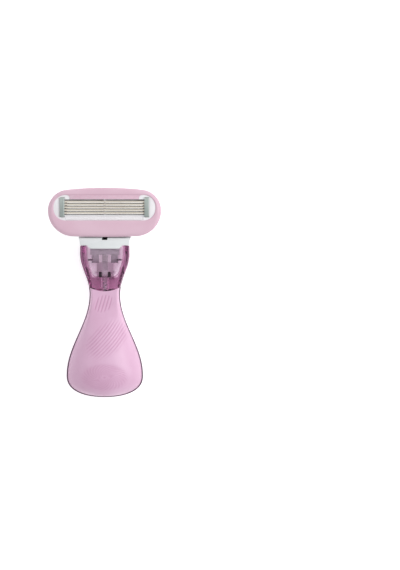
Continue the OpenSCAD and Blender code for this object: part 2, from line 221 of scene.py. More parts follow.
def softened(node, name, width, segments=2):
    piece = bpy.data.objects.new(name, frame["nodes"][node].data.copy())
    bpy.context.scene.collection.objects.link(piece)
    piece.data.materials.clear()
    tidy_mesh(piece, merge=2e-6, flatten=2)
    return round_edges(piece, width, segments)


def paint(piece, material):
    piece.data.materials.clear()
    piece.data.materials.append(material)
    piece.data.polygons.foreach_set("material_index", [0] * len(piece.data.polygons))
    return piece


def fit(piece, body, slot, material, *nodes):
    if len(piece.data.materials) < 2:
        paint(piece, material)
    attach(piece, body)
    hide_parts(*nodes)
    print(f"{piece.name}: {len(piece.data.polygons)} faces on {body}")


# %% [markdown]
# ## Camera, floor and light
# The razor is seen from straight above through a long lens, so it hardly tapers. A
# white floor and a bright even sky give the clean studio look, and two large soft
# lamps give the satin grips their gentle light and dark sides.

# %% Camera
view_height = 0.2288
view_centre = Vector((0.0382, 0.0030, 0.008))
camera_distance = 0.95
camera_data = bpy.data.cameras.new("camera")
camera_data.sensor_width = 36
camera_data.lens = camera_data.sensor_width * camera_distance / view_height
camera = bpy.data.objects.new("camera", camera_data)
camera.location = view_centre + Vector((0, 0, camera_distance))
bpy.context.scene.collection.objects.link(camera)
bpy.context.scene.camera = camera
bpy.context.scene.view_settings.view_transform = "Standard"
print(f"lens {camera_data.lens:.0f} mm")

# %% Floor, sky and lamps
floor_data = bpy.data.meshes.new("floor")
floor_half = 1.5
floor_z = -2e-5
floor_data.from_pydata([(-floor_half, -floor_half, floor_z), (floor_half, -floor_half, floor_z),
                        (floor_half, floor_half, floor_z), (-floor_half, floor_half, floor_z)],
                       [], [(0, 1, 2, 3)])
floor = bpy.data.objects.new("floor", floor_data)
bpy.context.scene.collection.objects.link(floor)

sky = bpy.data.worlds.new("sky")
bpy.context.scene.world = sky
sky.use_nodes = True
sky.node_tree.nodes["Background"].inputs["Color"].default_value = (0.97, 0.98, 1.0, 1)
sky.node_tree.nodes["Background"].inputs["Strength"].default_value = 0.62


def lamp(name, place, aim, power, width):
    data = bpy.data.lights.new(name, "AREA")
    data.energy = power
    data.size = width
    light = bpy.data.objects.new(name, data)
    light.location = place
    light.rotation_euler = (Vector(aim) - Vector(place)).to_track_quat("-Z", "Y").to_euler()
    bpy.context.scene.collection.objects.link(light)


lamp("key", (0.42, 0.12, 0.42), (0, 0, 0), 2.0, 0.35)
lamp("fill", (-0.30, 0.40, 0.60), (0, 0, 0), 0.7, 0.50)

# %% [markdown]
# ## Finishes
# Every finish is worked out from the piece's own coordinates, in metres, so a noise
# scale of 3000 means a grain a third of a millimetre across. The helpers add one
# idea each: a noise, a colour that follows it, a roughness that follows it, or a
# tiny relief. Values that are the same all over go straight on the shader.

# %% Finish tools
def new_material(name, roughness=0.4, **values):
    material = bpy.data.materials.new(name)
    material.use_nodes = True
    shader = material.node_tree.nodes["Principled BSDF"]
    shader.inputs["Roughness"].default_value = roughness
    for label, value in values.items():
        shader.inputs[label.replace("_", " ")].default_value = value
    return material


def link(material, source, target):
    material.node_tree.links.new(source, target)


def add(material, kind, **settings):
    made = material.node_tree.nodes.new(kind)
    for label, value in settings.items():
        setattr(made, label, value)
    return made


def shader_of(material):
    return material.node_tree.nodes["Principled BSDF"]


def coordinates(material, stretch=(1, 1, 1)):
    place = add(material, "ShaderNodeTexCoord")
    mapping = add(material, "ShaderNodeMapping")
    mapping.inputs["Scale"].default_value = stretch
    link(material, place.outputs["Object"], mapping.inputs["Vector"])
    return mapping.outputs["Vector"]


def noise(material, scale, detail=3.0, stretch=(1, 1, 1)):
    texture = add(material, "ShaderNodeTexNoise")
    texture.inputs["Scale"].default_value = scale
    texture.inputs["Detail"].default_value = detail
    link(material, coordinates(material, stretch), texture.inputs["Vector"])
    return texture.outputs["Fac"]


def tone(material, source, dark, light, low=0.35, high=0.65):
    ramp = add(material, "ShaderNodeValToRGB")
    ramp.color_ramp.elements[0].position = low
    ramp.color_ramp.elements[0].color = (*dark, 1)
    ramp.color_ramp.elements[1].position = high
    ramp.color_ramp.elements[1].color = (*light, 1)
    link(material, source, ramp.inputs["Fac"])
    link(material, ramp.outputs["Color"], shader_of(material).inputs["Base Color"])
    return ramp


def vary_gloss(material, source, low, high):
    spread = add(material, "ShaderNodeMapRange")
    spread.inputs["To Min"].default_value = low
    spread.inputs["To Max"].default_value = high
    link(material, source, spread.inputs["Value"])
    link(material, spread.outputs["Result"], shader_of(material).inputs["Roughness"])


def relief(material, source, depth, strength=1.0):
    bump = add(material, "ShaderNodeBump")
    bump.inputs["Strength"].default_value = strength
    bump.inputs["Distance"].default_value = depth * MM
    link(material, source, bump.inputs["Height"])
    link(material, bump.outputs["Normal"], shader_of(material).inputs["Normal"])


def srgb(red, green, blue):
    return tuple((c / 255 / 12.92) if c <= 10 else ((c / 255 + 0.055) / 1.055) ** 2.4
                 for c in (red, green, blue))


# %% Floor finish
paper = new_material("floor_paper", 0.9)
tone(paper, noise(paper, 60), (0.93, 0.93, 0.93), (0.95, 0.95, 0.95))
shader_of(paper).inputs["Emission Color"].default_value = (1, 1, 1, 1)
shader_of(paper).inputs["Emission Strength"].default_value = 0.48
floor_data.materials.append(paper)

# %% [markdown]
# ### Soft grip finish
# The grips are a satin thermoplastic rubber. Its colour is even but for painted
# shade in the pressed lines, and a very fine moulded grain keeps the highlight broad.

# %% Pink rubber
pink_rubber = new_material("pink_rubber", 0.42, Sheen_Weight=0.15, Sheen_Roughness=0.5)
pink_rubber_tone = tone(pink_rubber, noise(pink_rubber, 90), srgb(211, 168, 195),
                        srgb(218, 178, 204))
# Painted shade: the pressed depth darkens the rubber's colour in the grooves of the pattern.
pressed = add(pink_rubber, "ShaderNodeAttribute", attribute_name="pressed")
pressed_shade_mix = add(pink_rubber, "ShaderNodeMix", data_type="RGBA", blend_type="MULTIPLY")
pressed_shade_mix.inputs[7].default_value = (*srgb(238, 222, 232), 1)
link(pink_rubber, pressed.outputs["Fac"], pressed_shade_mix.inputs[0])
link(pink_rubber, pink_rubber_tone.outputs["Color"], pressed_shade_mix.inputs[6])
link(pink_rubber, pressed_shade_mix.outputs[2], shader_of(pink_rubber).inputs["Base Color"])
vary_gloss(pink_rubber, noise(pink_rubber, 400), 0.36, 0.5)
relief(pink_rubber, noise(pink_rubber, 4200, 2), 0.012, 0.5)

# %% Pink frame rubber
pink_frame = new_material("pink_frame", 0.5, Sheen_Weight=0.12, Sheen_Roughness=0.5)
tone(pink_frame, noise(pink_frame, 70), srgb(212, 176, 192), srgb(217, 184, 199))
vary_gloss(pink_frame, noise(pink_frame, 380), 0.42, 0.56)
relief(pink_frame, noise(pink_frame, 3800, 2), 0.012, 0.5)

# %% [markdown]
# ### Plum see-through plastic
# The collar is a clear plastic coloured all the way through, so it is darker where
# it is thick. The colour therefore belongs to the volume, and not to the surface: an
# absorption inside a polished, fully transmitting skin does this by itself. Round the
# pocket the moulding is solid from front to back, and its skin is deeper there too.

# %% Plum plastic
plum_plastic = new_material("plum_plastic", 0.06, Transmission_Weight=1.0, IOR=1.22,
                            Coat_Weight=0.6, Coat_Roughness=0.05)
plum_tone = tone(plum_plastic, noise(plum_plastic, 150), (0.93, 0.89, 0.92), (0.96, 0.93, 0.95))
solid = add(plum_plastic, "ShaderNodeAttribute", attribute_name="solid")
thicken = add(plum_plastic, "ShaderNodeMix", data_type="RGBA")
thicken.inputs[7].default_value = (0.46, 0.25, 0.37, 1)
link(plum_plastic, solid.outputs["Fac"], thicken.inputs[0])
link(plum_plastic, plum_tone.outputs["Color"], thicken.inputs[6])
link(plum_plastic, thicken.outputs[2], shader_of(plum_plastic).inputs["Base Color"])
relief(plum_plastic, noise(plum_plastic, 260, 2), 0.02, 0.25)
soak = add(plum_plastic, "ShaderNodeVolumeAbsorption")
soak.inputs["Color"].default_value = (0.60, 0.04, 0.46, 1)
soak.inputs["Density"].default_value = 78
link(plum_plastic, soak.outputs["Volume"],
     plum_plastic.node_tree.nodes["Material Output"].inputs["Volume"])

# %% Deep plum, where the moulding is seen edge on
plum_edge = new_material("plum_edge", 0.25, Coat_Weight=0.4)
tone(plum_edge, noise(plum_edge, 200), srgb(92, 66, 86), srgb(112, 84, 104))
relief(plum_edge, noise(plum_edge, 1200, 2), 0.006, 0.4)

# %% Mauve button, clear plunger and white mouldings
mauve_button = new_material("mauve_button", 0.3, Transmission_Weight=0.85, IOR=1.15)
tone(mauve_button, noise(mauve_button, 200), srgb(240, 226, 237), srgb(246, 234, 243))
relief(mauve_button, noise(mauve_button, 3000, 2), 0.01, 0.5)

clear_plastic = new_material("clear_plastic", 0.08, Transmission_Weight=1.0, IOR=1.12)
plunger_tip = tone(clear_plastic, noise(clear_plastic, 300), (0.90, 0.86, 0.89),
                   (0.96, 0.94, 0.95))
# Painted shade: the plunger's tip, seen in the yoke's eye, is made almost black for the deep hole
# there.
tip_shade_mix = add(clear_plastic, "ShaderNodeMix", data_type="RGBA")
tip_shade_mix.inputs[7].default_value = (0.01, 0.008, 0.01, 1)
along = add(clear_plastic, "ShaderNodeSeparateXYZ")
link(clear_plastic, coordinates(clear_plastic), along.inputs["Vector"])
tip_start = add(clear_plastic, "ShaderNodeMapRange")
tip_start.inputs["From Min"].default_value = (butt_y + handle_len + 0.6) * MM
tip_start.inputs["From Max"].default_value = (butt_y + handle_len + 1.0) * MM
link(clear_plastic, along.outputs["Y"], tip_start.inputs["Value"])
link(clear_plastic, tip_start.outputs["Result"], tip_shade_mix.inputs[0])
link(clear_plastic, plunger_tip.outputs["Color"], tip_shade_mix.inputs[6])
link(clear_plastic, tip_shade_mix.outputs[2], shader_of(clear_plastic).inputs["Base Color"])
relief(clear_plastic, noise(clear_plastic, 900, 2), 0.01, 0.4)

white_plastic = new_material("white_plastic", 0.32, Subsurface_Weight=0.1,
                             Subsurface_Radius=(0.001, 0.0008, 0.0008), Coat_Weight=0.15)
tone(white_plastic, noise(white_plastic, 120), srgb(233, 231, 233), srgb(240, 238, 240))
vary_gloss(white_plastic, noise(white_plastic, 500), 0.28, 0.4)
relief(white_plastic, noise(white_plastic, 3000, 2), 0.006, 0.4)

white_yoke = new_material("white_yoke", 0.3, Coat_Weight=0.2)
yoke_tone = tone(white_yoke, noise(white_yoke, 120), srgb(218, 222, 222), srgb(226, 229, 229))
# Painted shade: the marked prongs, deep in the collar's pocket, are darkened.
shaded = add(white_yoke, "ShaderNodeAttribute", attribute_name="deep")
prong_shade_mix = add(white_yoke, "ShaderNodeMix", data_type="RGBA", blend_type="MULTIPLY")
prong_shade_mix.inputs[7].default_value = (0.42, 0.34, 0.40, 1)
link(white_yoke, shaded.outputs["Fac"], prong_shade_mix.inputs[0])
link(white_yoke, yoke_tone.outputs["Color"], prong_shade_mix.inputs[6])
link(white_yoke, prong_shade_mix.outputs[2], shader_of(white_yoke).inputs["Base Color"])
vary_gloss(white_yoke, noise(white_yoke, 450), 0.26, 0.38)
relief(white_yoke, noise(white_yoke, 2600, 2), 0.006, 0.4)

# %% [markdown]
# ### Metals, strip and guard
# Rolled steel has fine lines along its length, so its noise is stretched along X. The
# clips are aluminium with the same lines across. The strip over the blades is waxy.

# %% Blade steel, supports, clips and wire
blade_steel = new_material("blade_steel", 0.34, Metallic=0.55)
tone(blade_steel, noise(blade_steel, 2500, 3, (0.02, 1, 1)), srgb(222, 213, 198),
     srgb(234, 226, 211))
vary_gloss(blade_steel, noise(blade_steel, 4000, 2, (0.02, 1, 1)), 0.2, 0.36)
relief(blade_steel, noise(blade_steel, 9000, 2, (0.02, 1, 1)), 0.004, 0.5)

# The supports are steel; their dark brown is partly painted shade for the gaps between the blades.
support_steel = new_material("support_steel", 0.45, Metallic=0.5)
tone(support_steel, noise(support_steel, 2000, 3, (0.03, 1, 1)), srgb(62, 52, 46),
     srgb(88, 76, 68))
relief(support_steel, noise(support_steel, 7000, 2, (0.03, 1, 1)), 0.004, 0.5)

clip_metal = new_material("clip_metal", 0.36, Metallic=0.65)
tone(clip_metal, noise(clip_metal, 2200, 3, (1, 0.05, 1)), srgb(162, 172, 168),
     srgb(182, 190, 185))
vary_gloss(clip_metal, noise(clip_metal, 3500, 2, (1, 0.05, 1)), 0.3, 0.46)
relief(clip_metal, noise(clip_metal, 8000, 2, (1, 0.05, 1)), 0.004, 0.5)

spring_steel = new_material("spring_steel", 0.3, Metallic=0.7)
tone(spring_steel, noise(spring_steel, 3000), (0.74, 0.74, 0.76), (0.86, 0.86, 0.88))

# %% Strip and guard
lube_strip = new_material("lube_strip", 0.5, Subsurface_Weight=0.15,
                          Subsurface_Radius=(0.001, 0.0006, 0.0007))
tone(lube_strip, noise(lube_strip, 900, 5), srgb(213, 178, 194), srgb(218, 185, 200))
relief(lube_strip, noise(lube_strip, 2600, 4), 0.012, 0.4)

guard_rubber = new_material("guard_rubber", 0.55)
tone(guard_rubber, noise(guard_rubber, 300), srgb(246, 244, 245), srgb(250, 248, 249))
relief(guard_rubber, noise(guard_rubber, 3000, 2), 0.01, 0.5)

# %% [markdown]
# ## Node trees in script
# Geometry nodes suit what repeats or follows a surface. Three tools are enough: one
# starts a tree with named inputs, one adds a node and joins it up, and one grows a
# piece from a tree and turns the result into a plain mesh.

# %% Tree tools
def new_tree(name, **inputs):
    tree = bpy.data.node_groups.new(name, "GeometryNodeTree")
    tree.interface.new_socket("Geometry", in_out="INPUT", socket_type="NodeSocketGeometry")
    for label, value in inputs.items():
        kind = "NodeSocketInt" if isinstance(value, int) else "NodeSocketFloat"
        tree.interface.new_socket(label, in_out="INPUT", socket_type=kind).default_value = value
    tree.interface.new_socket("Finish", in_out="INPUT", socket_type="NodeSocketMaterial")
    tree.interface.new_socket("Geometry", in_out="OUTPUT", socket_type="NodeSocketGeometry")
    return tree, tree.nodes.new("NodeGroupInput").outputs


def step(tree, kind, wires, **settings):
    made = tree.nodes.new(kind)
    for label, value in settings.items():
        setattr(made, label, value)
    for label, value in wires.items():
        if isinstance(value, bpy.types.NodeSocket):
            tree.links.new(value, made.inputs[label])
        else:
            made.inputs[label].default_value = value
    return made.outputs


def maths(tree, operation, first, second=0.0):
    return step(tree, "ShaderNodeMath", {0: first, 1: second}, operation=operation)[0]


def end_tree(tree, given, geometry):
    real = step(tree, "GeometryNodeRealizeInstances", {"Geometry": geometry})
    dressed = step(tree, "GeometryNodeSetMaterial",
                   {"Geometry": real["Geometry"], "Material": given["Finish"]})
    step(tree, "NodeGroupOutput", {"Geometry": dressed["Geometry"]})


def grow(piece, tree, material, **values):
    nodes = piece.modifiers.new(tree.name, "NODES")
    nodes.node_group = tree
    for item in tree.interface.items_tree:
        if item.in_out == "INPUT" and item.name in values:
            nodes[item.identifier] = values[item.name]
        if item.in_out == "INPUT" and item.name == "Finish":
            nodes[item.identifier] = material
    return settle(piece)


def empty_piece(name):
    piece = bpy.data.objects.new(name, bpy.data.meshes.new(name))
    bpy.context.scene.collection.objects.link(piece)
    return piece


# %% [markdown]
# ## The handle's shape
# One rule gives the whole handle. Seen from the front its half-width is a rounded
# butt, a cosine flank down to the neck and a cosine flare up to the mouth. Seen from
# the side, a front and a back curve limit its height. The bulb is domed from side to
# side under these curves. At the neck the softest smallest of the limits takes over,
# which gives the flat front and rounded edges that the collar has.

# %% Shape rule
def ease(y, start, end):
    return (1 - np.cos(np.pi * np.clip((y - start) / (end - start), 0, 1))) / 2


def half_width(y, inset=0.0):
    u = np.clip((bulb_y - y) / (bulb_y - inset), 0, 1)
    butt = (bulb_half - inset) * (1 - u ** 2.5) ** (1 / 2.2)
    flank = neck_half + (bulb_half - neck_half) * (1 - ease(y, bulb_y, neck_y)) - inset
    flare = neck_half - inset + (mouth_half - neck_half) * ease(
        y, neck_y, neck_y + (flare_y - neck_y) * 0.93)
    return np.where(y < bulb_y, butt, np.where(y < neck_y, flank, flare))


def nose(y):
    return (1 - ((top_y - np.minimum(y, top_y)) / (top_y + 0.6)) ** 2.4) ** (1 / 2.2)


def front_height(y):
    return half_t * nose(y) + (collar_t - mid_z - half_t) * ease(y, top_y, slim_y)


def back_free(y):
    down = half_t * nose(y) - back_rise * ease(y, top_y, hollow_y)
    return down + (mid_z - half_t + back_rise + 1) * ease(y, neck_y, neck_y + 2)


def back_height(y):
    return np.minimum(mid_z, back_free(y))


def softest(limits, softness):
    limits = np.stack(np.broadcast_arrays(*limits))
    least = limits.min(0)
    return least - softness * np.log(np.exp(-(limits - least) / softness).sum(0))


def domed(centre, half, x):
    share = np.clip(np.abs(x) / np.maximum(half, 1e-6), 0, 1)
    return centre * (1 - share ** 2.3) ** 0.75


def arc_end(x):
    return arc_y + arc_r - np.sqrt(arc_r ** 2 - np.clip(np.abs(x), 0, arc_r * 0.9) ** 2)


# %% [markdown]
# ## The grips
# Each grip is a soft shell over the core. Its outer face is a fine grid that follows
# the shape rule from the butt to the curved edge of the collar, and its inner face
# is the same rule taken in by the grip's thickness.

# %% Grip shell
def grip_face(side, inset, sink, columns, butt_rows, rows):
    sweep = np.linspace(-np.pi / 2, np.pi / 2, columns)
    grid = []
    for u in np.cos(np.linspace(0, np.pi / 2, butt_rows, endpoint=False)):
        y = np.full(columns, bulb_y - (bulb_y - inset) * u)
        grid.append((y, half_width(y, inset)))
    ends = np.full(columns, arc_y)
    for _ in range(6):
        ends = arc_end(half_width(ends, inset) * np.sin(sweep))
    for share in np.linspace(0, 1, rows):
        y = bulb_y + (ends - bulb_y) * share
        grid.append((y, half_width(y, inset)))
    y = np.array([row[0] for row in grid])
    half = np.array([row[1] for row in grid])
    x = np.sqrt(np.maximum(half ** 2 - rim_half ** 2, 0)) * np.sin(sweep)
    limit = front_height(y) if side > 0 else back_height(y)
    round_limit = np.sqrt(np.maximum(half ** 2 - x ** 2, 0))
    crown = half_t - crown_r + np.sqrt((crown_r - sink) ** 2 - x ** 2)
    cut = softest([limit - sink, round_limit, crown], 0.22)
    if side > 0:
        dome = domed(front_height(y) - sink, half, x)
    else:
        dome = softest([domed(back_free(y) - sink, half, x), mid_z - sink], 0.12)
    dome = softest([dome, round_limit], 0.5)
    height = np.maximum(dome + (cut - dome) * ease(y, bulb_y + 11, neck_y - 1), rim_half)
    height[:, 0] = rim_half
    height[:, -1] = rim_half
    return np.stack([x, y, mid_z + side * height], -1)


def border(rows, columns, start=0):
    loop = [r * columns for r in range(rows)]
    loop += [(rows - 1) * columns + c for c in range(1, columns)]
    loop += [r * columns + columns - 1 for r in range(rows - 2, -1, -1)]
    loop += [c for c in range(columns - 2, 0, -1)]
    return [start + i for i in loop]


def grid_faces(rows, columns, start=0):
    return [(start + r * columns + c, start + r * columns + c + 1,
             start + (r + 1) * columns + c + 1, start + (r + 1) * columns + c)
            for r in range(rows - 1) for c in range(columns - 1)]


def grip_shell(name, side, coarse=3):
    columns, butt_rows, rows = 151, 39, 223
    outer = grip_face(side, rim_step, 0, columns, butt_rows, rows)
    inner = grip_face(side, grip_t + 0.1, grip_t, (columns - 1) // coarse + 1,
                      butt_rows // coarse, (rows - 1) // coarse + 1)
    total, (in_rows, in_columns) = outer.shape[0] * columns, inner.shape[:2]
    faces = grid_faces(outer.shape[0], columns) + grid_faces(in_rows, in_columns, total)
    wide, narrow = border(outer.shape[0], columns), border(in_rows, in_columns, total)
    for k in range(len(narrow)):
        part = [wide[(coarse * k + m) % len(wide)] for m in range(coarse + 1)]
        faces.append(tuple(part + [narrow[(k + 1) % len(narrow)], narrow[k]]))
    points = np.concatenate([outer.reshape(-1, 3), inner.reshape(-1, 3)])
    return make_mesh(name, points, faces)


# %% [markdown]
# ### The pressed pattern
# Three patterns are pressed into the front grip: upright lines at the neck, slanted
# lines that bend like rings round a far centre, and an oval pad of curved petals. A
# formula gives each point a depth from 0 to 1, and a small node tree pushes the
# surface in along its own normal by that much. The rear grip gets the lines only.

# %% Pattern rule
def fade(distance, start, end):
    t = np.clip((distance - start) / (end - start), 0, 1)
    return 1 - t * t * (3 - 2 * t)


def lines(across, pitch, thinness=2.0):
    return (0.5 + 0.5 * np.cos(2 * np.pi * across / pitch)) ** thinness


def neck_lines(x, y, slant=math.radians(16), pitch=1.3):
    across = (x + 0.55) * math.cos(slant) - (y - 37.5) * math.sin(slant)
    reach = np.hypot(across / 3.9, (y - 37.5) / 3.7)
    return lines(across, pitch) * fade(reach, 0.8, 1.05)


def slanted_lines(x, y, centre=(-39.6, 57.0), pitch=1.13, lean=math.radians(40)):
    radius = np.hypot(x - centre[0], y - centre[1])
    along = (x - 1.2) * math.cos(lean) + (y - 23.3) * math.sin(lean)
    across = -(x - 1.2) * math.sin(lean) + (y - 23.3) * math.cos(lean)
    return lines(radius, pitch) * fade(np.hypot(along / 10.6, across / 6.6), 0.62, 1.05)


def petal_pad(x, y, centre=(0.1, 8.1), reach=(9.5, 5.6), petals=26, twist=1.5):
    u, v = (x - centre[0]) / reach[0], (y - centre[1]) / reach[1]
    radius = np.hypot(u, v)
    petal = lines(np.arctan2(v, u) + twist * radius, 2 * np.pi / petals, 1.3)
    petal = petal * fade(radius, 0.82, 1.02) * (1 - fade(radius, 0.1, 0.22))
    return petal * 0.5 + 0.22 * fade(radius, 0.8, 1.1) + 0.7 * fade(radius, 0.03, 0.08)


def plan_points(piece):
    points = np.empty(len(piece.data.vertices) * 3)
    piece.data.vertices.foreach_get("co", points)
    points = points.reshape(-1, 3) / MM
    return points[:, 0], points[:, 1] - butt_y, points[:, 2]


def mark(piece, name, values):
    marks = piece.data.attributes.new(name, "FLOAT", "POINT")
    marks.data.foreach_set("value", np.clip(values, 0, 1).astype(np.float32))


def mark_pressed(piece, patterns):
    x, y, _ = plan_points(piece)
    mark(piece, "pressed", sum(pattern(x, y) for pattern in patterns))


# %% Tree that presses the pattern in
press_tree, given = new_tree("press_pattern", Depth=0.00012)
marked = step(press_tree, "GeometryNodeInputNamedAttribute", {"Name": "pressed"},
              data_type="FLOAT")
inward = maths(press_tree, "MULTIPLY", maths(press_tree, "MULTIPLY", marked["Attribute"],
                                             given["Depth"]), -1.0)
outward = step(press_tree, "GeometryNodeInputNormal", {})
push = step(press_tree, "ShaderNodeVectorMath", {0: outward[0], "Scale": inward},
            operation="SCALE")
moved = step(press_tree, "GeometryNodeSetPosition",
             {"Geometry": given["Geometry"], "Offset": push["Vector"]})
end_tree(press_tree, given, moved["Geometry"])

# %% Front and rear grips
front_grip = grip_shell("soft_front_grip", 1)
mark_pressed(front_grip, [neck_lines, slanted_lines, petal_pad])
grow(front_grip, press_tree, pink_rubber, Depth=0.00014)
fit(shade(front_grip, 50), "handle", "pink_rubber", pink_rubber, "front_grip")

rear_grip = grip_shell("soft_rear_grip", -1)
mark_pressed(rear_grip, [slanted_lines, neck_lines])
grow(rear_grip, press_tree, pink_rubber, Depth=0.00014)
fit(shade(rear_grip, 50), "handle", "pink_rubber", pink_rubber, "rear_grip")

# %% [markdown]
# ## The core
# The core is one moulding. Its collar is a loft of the shape rule, a thin plate
# carries the rim that shows between the grips, and an inner body fills them. The
# pocket, the bore, the mouth's step and the button's slot are cut out of it.

# %% Sections of the core
ring_points = 128


def section(y, inset=0.0, points=ring_points):
    turn = np.linspace(0, 2 * np.pi, points, endpoint=False)
    side, up = np.cos(turn), np.sin(turn)
    steep = np.maximum(np.abs(up), 1e-3)
    y = np.broadcast_to(y, turn.shape)
    top = np.where(up > 0, (front_height(y) - inset) / steep, 1e3)
    under = np.where(y > neck_y + 0.6, mid_z, back_height(y) - inset)
    below = np.where(up < 0, under / steep, 1e3)
    crown = half_t - inset / 2
    radius = softest([half_width(y, inset), top, below,
                      crown / np.maximum(steep, 0.05) * 1.02 + np.abs(side) * 3], 0.18)
    return np.stack([radius * side, y, mid_z + radius * up], -1)


def collar_rings(rows=40):
    rings = []
    for share in np.linspace(0, 1, rows):
        y = np.full(ring_points, arc_y + (handle_len - arc_y) * share)
        for _ in range(6):
            near = arc_end(section(y)[:, 0])
            y = near + (handle_len - near) * share
        ring = section(y)
        lip = 0.18 * max(0.0, (share - 0.985) / 0.015)
        ring[:, 0] *= 1 - lip / 10
        rings.append(ring)
    return rings


def outline(inset, end, count=72):
    half = np.pi / 2 * np.linspace(0, 1, count // 2)
    y = np.concatenate([bulb_y - (bulb_y - inset) * np.cos(half),
                        np.linspace(bulb_y, end, count)[1:]])
    right = [(w, v) for w, v in zip(half_width(y, inset), y)]
    return right + [(-w, v) for w, v in right[::-1] if w > 1e-6]


def handle_ring(y, inset, sink, count=64):
    turn = np.linspace(-np.pi / 2, np.pi / 2, count)
    y = np.full(count, y)
    half = half_width(y, inset)
    x = half * np.sin(turn)
    round_limit = np.sqrt(np.maximum(half ** 2 - x ** 2, 0))
    crown = half_t - crown_r + np.sqrt((crown_r - sink) ** 2 - x ** 2)
    front = softest([front_height(y) - sink, round_limit, crown], 0.22)
    back = softest([back_height(y) - sink, round_limit, crown], 0.22)
    upper = np.stack([x, y, mid_z + np.maximum(front, 0.01)], -1)
    lower = np.stack([x, y, mid_z - np.maximum(back, 0.01)], -1)[::-1]
    return np.concatenate([upper, lower])


inner_rows = bulb_y - (bulb_y - grip_t - 0.2) * np.cos(np.linspace(0.15, np.pi / 2, 16))
inner_rows = np.concatenate([inner_rows, np.linspace(bulb_y, arc_y + 4, 30)[1:]])


# %% Core with its pocket and slots
pocket_floor = handle_len - 12.7
pocket_z = (3.0, collar_t - 2.2)
plunger_z = sum(pocket_z) / 2 + 0.6
side_wall = 2.5
pocket_side = [(float(half_width(np.array(pocket_floor))) - side_wall - 1.2, pocket_floor)]
pocket_side += [(float(half_width(np.array(pocket_floor + 1.4 + s))) - side_wall,
                 pocket_floor + 1.4 + s) for s in np.linspace(0, 13.5, 12)]
pocket = slab("pocket", pocket_side + [(-x, y) for x, y in pocket_side[::-1]], pocket_z)
round_edges(pocket, 0.5, 3, 25)

stem_half = 6.0
notch_side = [(stem_half, handle_len - 1.4), (stem_half + 0.5, handle_len - 0.84),
              (stem_half + 1, handle_len - 0.28), (stem_half + 1.6, handle_len + 1)]
notch = slab("notch", notch_side + [(-x, y) for x, y in notch_side[::-1]],
             (pocket_z[1] - 0.5, collar_t + 3))

button_y = pocket_floor + 1.3
slots = [block("thumb_slot", (-3.9, 3.9), (button_y - 2.8, button_y + 8.4), (-1, 1.0), 0.3),
         block("post_slot", (-1.15, 1.15), (button_y - 0.4, button_y + 4.6), (0, 3.1)),
         block("spring_slot", (-1.15, 1.15), (button_y, handle_len - 2.2), (1.3, 3.1)),
         rod("bore", (pocket_floor - 13.1, pocket_floor + 1), plunger_z, 1.5)]

core = paint(loft("plum_core", collar_rings()), plum_plastic)
rim = round_edges(slab("rim", outline(0, arc_y + 2), (mid_z - rim_half, mid_z + rim_half)),
                  0.25, 3, 60)
inner = loft("inner", [handle_ring(y, grip_t + 0.2, grip_t + 0.1)
                       for y in inner_rows])
combine(core, [paint(rim, plum_edge), paint(inner, plum_plastic)], "UNION")
combine(core, [paint(cutter, plum_plastic) for cutter in [pocket, notch] + slots],
        "DIFFERENCE")
ledges = []
for side in (-1, 1):
    tab_x = sorted((side * 1.22, side * 2.4))
    ledges.append(block("tab", tab_x, (pocket_floor - 0.3, pocket_floor + 2.2),
                        (plunger_z - 1.6, pocket_z[1] + 0.4), 0.3))
    detent_x = sorted((side * 4.8, side * 6.8))
    ledges.append(block("detent", detent_x, (handle_len - 6, handle_len - 5.4),
                        (pocket_z[1] - 0.6, pocket_z[1] + 0.4), 0.12))
combine(core, [paint(ledge, plum_edge) for ledge in ledges], "UNION")
tidy_mesh(core)
x, y, _ = plan_points(core)
inside = np.minimum(half_width(y) - side_wall - np.abs(x), y - pocket_floor)
bore_band = 0.75 * fade(np.abs(x), 1.1, 1.5)
mark(core, "solid", fade(inside, -0.3, 0.5) * (1 - bore_band))
fit(shade(core, 30), "handle", "plum_plastic", plum_plastic, "handle_core")

# %% [markdown]
# ## The soft frame
# The pink frame is a rounded ring. One loop follows the window's edge, the other the
# outline's four arcs, and the rings between them rise over the face and roll round
# the edge. Slots underneath leave room for the yoke's arms as the head swings.

# %% Outline of the frame
frame_low, frame_high = size("soft_frame")
head_y = frame_low[1] - butt_y
head_half = frame_high[0]
head_h = frame_high[1] - frame_low[1]
face_z = frame_high[2]
window_half = (head_half * 2 - 4.6) / 2
window_low, window_high = head_y + 6.6, head_y + 16.8
pivot_y = frame["joints"][0]["pos_m"][1] / MM - butt_y
pivot_z = frame["joints"][0]["pos_m"][2] / MM


def sweep_arc(cx, cy, radius, start, end, count):
    turn = np.linspace(start, end, count)
    return np.stack([cx + radius * np.cos(turn), cy + radius * np.sin(turn)], -1)


def frame_outline(inset):
    top_r, low_r, high_c, low_c = 140.0, 300.0, 8.4, 10.3
    high_x, low_x = head_half - high_c, head_half - low_c
    high_y = head_h - top_r + math.sqrt((top_r - high_c) ** 2 - high_x ** 2)
    low_y = low_r - math.sqrt((low_r - low_c) ** 2 - low_x ** 2)
    high_a = math.atan2(high_y - head_h + top_r, high_x)
    low_a = math.atan2(low_y - low_r, low_x)
    right = np.concatenate([
        sweep_arc(0, low_r, low_r - inset, -math.pi / 2, low_a, 60),
        sweep_arc(low_x, low_y, low_c - inset, low_a, 0, 60)[1:],
        sweep_arc(high_x, high_y, high_c - inset, 0, high_a, 60),
        sweep_arc(0, head_h - top_r, top_r - inset, high_a, math.pi / 2, 60)[1:]])
    left = right[::-1][1:-1] * (-1, 1)
    return np.concatenate([right, left]) + (0, head_y)


def window_loop(grow_by, corner=4.8):
    wide, low, high = window_half + grow_by, window_low - grow_by, window_high + grow_by
    radius = max(0.1, corner + grow_by)
    corners = [(wide - radius, low + radius, -90), (wide - radius, high - radius, 0),
               (radius - wide, high - radius, 90), (radius - wide, low + radius, 180)]
    return np.concatenate([sweep_arc(x, y, radius, math.radians(a), math.radians(a + 90), 24)
                           for x, y, a in corners])


window_middle = np.array((0, (window_low + window_high) / 2))


